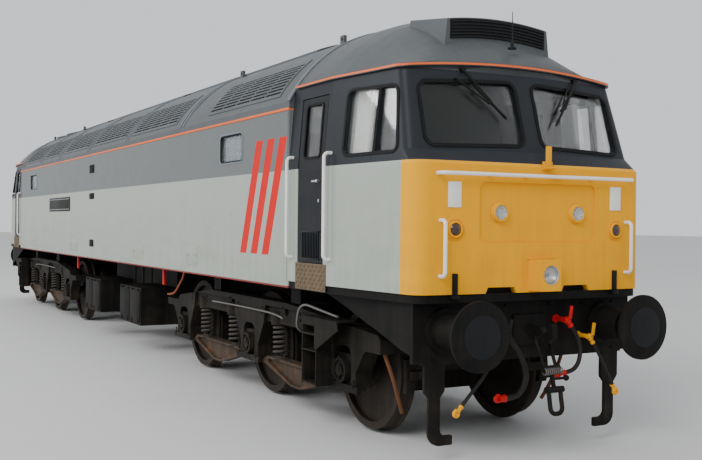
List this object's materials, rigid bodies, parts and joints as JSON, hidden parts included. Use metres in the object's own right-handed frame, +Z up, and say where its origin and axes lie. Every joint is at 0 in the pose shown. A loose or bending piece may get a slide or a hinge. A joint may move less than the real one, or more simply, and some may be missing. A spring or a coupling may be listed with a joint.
{
  "type": "diesel locomotive",
  "caption": "Main-line diesel locomotive with a flat-fronted cab at each end, on two swivelling bogies with three turning wheelsets each, and cab doors that swing inwards.",
  "frame": {"origin": "ground level at mid length, at the lowest point of the wheel flanges", "axes": "+X forward towards the front cab, +Y to the left side, +Z up"},
  "size_m": [19.355, 2.844, 4.0022],
  "materials": {
    "body_grey": "satin paint, weathered",
    "bogie_black": "oily black paint",
    "bogie_rust": "worn paint with rust",
    "brake_paint": "gloss paint, red and yellow",
    "door_blue_black": "gloss paint",
    "frame_black": "black paint with road dirt",
    "gutter_orange": "gloss paint",
    "handrail_white": "gloss paint",
    "hose_rubber": "matt",
    "interior_grey": "matt paint",
    "lamp_glass": "clear lens",
    "nose_yellow": "gloss paint",
    "roof_grey": "satin paint",
    "tread_plate": "chequered and worn",
    "wheel_steel": "rolled steel with brake dust",
    "window_glass": "clear"
  },
  "bodies": {
    "body": {"underframe": "frame_black", "bogie_pivots": "frame_black", "headstocks": "frame_black", "buffers": "frame_black", "drawgear": "frame_black", "side_wall_right": "body_grey", "side_wall_left": "body_grey", "roof": "roof_grey", "roof_grilles": "roof_grey", "roof_fans": "roof_grey", "cab_front": "body_grey", "cab_rear": "body_grey", "cab_roof_front": "roof_grey", "cab_roof_rear": "roof_grey", "horn_hoods": "roof_grey", "gutters": "gutter_orange", "window_glass": "window_glass", "bulkheads": "interior_grey", "cab_fittings": "interior_grey", "door_sills": "tread_plate", "handrails": "handrail_white", "headlamp_boxes": "nose_yellow", "lamps": "lamp_glass", "engine_block": "interior_grey", "underfloor_tanks": "frame_black", "hose_main_red": "hose_rubber", "hose_main_yellow": "hose_rubber", "hose_side_red": "hose_rubber", "hose_side_yellow": "hose_rubber", "hose_heads": "brake_paint", "air_cocks": "brake_paint"},
    "bogie_front": {"bogie_front_frame": "bogie_black", "bogie_front_sides": "bogie_black", "bogie_front_axleboxes": "bogie_black", "bogie_front_equalisers": "bogie_rust", "bogie_front_springs": "bogie_black", "bogie_front_brakes": "bogie_black", "bogie_front_motors": "bogie_black"},
    "wheelset_front_1": {"wheelset_front_1": "wheel_steel"},
    "wheelset_front_2": {"wheelset_front_2": "wheel_steel"},
    "wheelset_front_3": {"wheelset_front_3": "wheel_steel"},
    "bogie_rear": {"bogie_rear_frame": "bogie_black", "bogie_rear_sides": "bogie_black", "bogie_rear_axleboxes": "bogie_black", "bogie_rear_equalisers": "bogie_rust", "bogie_rear_springs": "bogie_black", "bogie_rear_brakes": "bogie_black", "bogie_rear_motors": "bogie_black"},
    "wheelset_rear_1": {"wheelset_rear_1": "wheel_steel"},
    "wheelset_rear_2": {"wheelset_rear_2": "wheel_steel"},
    "wheelset_rear_3": {"wheelset_rear_3": "wheel_steel"},
    "door_front_right": {"door_front_right": "door_blue_black", "door_glass_front_right": "window_glass"},
    "door_front_left": {"door_front_left": "door_blue_black", "door_glass_front_left": "window_glass"},
    "door_rear_right": {"door_rear_right": "door_blue_black", "door_glass_rear_right": "window_glass"},
    "door_rear_left": {"door_rear_left": "door_blue_black", "door_glass_rear_left": "window_glass"}
  },
  "joints": [
    {"name": "bogie_front_swivel", "type": "hinge", "parent": "body", "child": "bogie_front", "pos_m": [5.639, 0, 1], "axis": [0, 0, 1], "range_deg": [-4, 4]},
    {"name": "wheelset_front_1_spin", "type": "hinge", "parent": "bogie_front", "child": "wheelset_front_1", "pos_m": [3.429, 0, 0.5995], "axis": [0, 1, 0], "continuous": true},
    {"name": "wheelset_front_2_spin", "type": "hinge", "parent": "bogie_front", "child": "wheelset_front_2", "pos_m": [5.639, 0, 0.5995], "axis": [0, 1, 0], "continuous": true},
    {"name": "wheelset_front_3_spin", "type": "hinge", "parent": "bogie_front", "child": "wheelset_front_3", "pos_m": [7.849, 0, 0.5995], "axis": [0, 1, 0], "continuous": true},
    {"name": "bogie_rear_swivel", "type": "hinge", "parent": "body", "child": "bogie_rear", "pos_m": [-5.639, 0, 1], "axis": [0, 0, 1], "range_deg": [-4, 4]},
    {"name": "wheelset_rear_1_spin", "type": "hinge", "parent": "bogie_rear", "child": "wheelset_rear_1", "pos_m": [-3.429, 0, 0.5995], "axis": [0, 1, 0], "continuous": true},
    {"name": "wheelset_rear_2_spin", "type": "hinge", "parent": "bogie_rear", "child": "wheelset_rear_2", "pos_m": [-5.639, 0, 0.5995], "axis": [0, 1, 0], "continuous": true},
    {"name": "wheelset_rear_3_spin", "type": "hinge", "parent": "bogie_rear", "child": "wheelset_rear_3", "pos_m": [-7.849, 0, 0.5995], "axis": [0, 1, 0], "continuous": true},
    {"name": "door_front_right_swing", "type": "hinge", "parent": "body", "child": "door_front_right", "pos_m": [7.353, -1.2368, 1.588], "axis": [0, 0, 1], "range_deg": [0, 85]},
    {"name": "door_front_left_swing", "type": "hinge", "parent": "body", "child": "door_front_left", "pos_m": [7.353, 1.2368, 1.588], "axis": [0, 0, -1], "range_deg": [0, 85]},
    {"name": "door_rear_right_swing", "type": "hinge", "parent": "body", "child": "door_rear_right", "pos_m": [-7.353, -1.2368, 1.588], "axis": [0, 0, -1], "range_deg": [0, 85]},
    {"name": "door_rear_left_swing", "type": "hinge", "parent": "body", "child": "door_rear_left", "pos_m": [-7.353, 1.2368, 1.588], "axis": [0, 0, 1], "range_deg": [0, 85]}
  ]
}
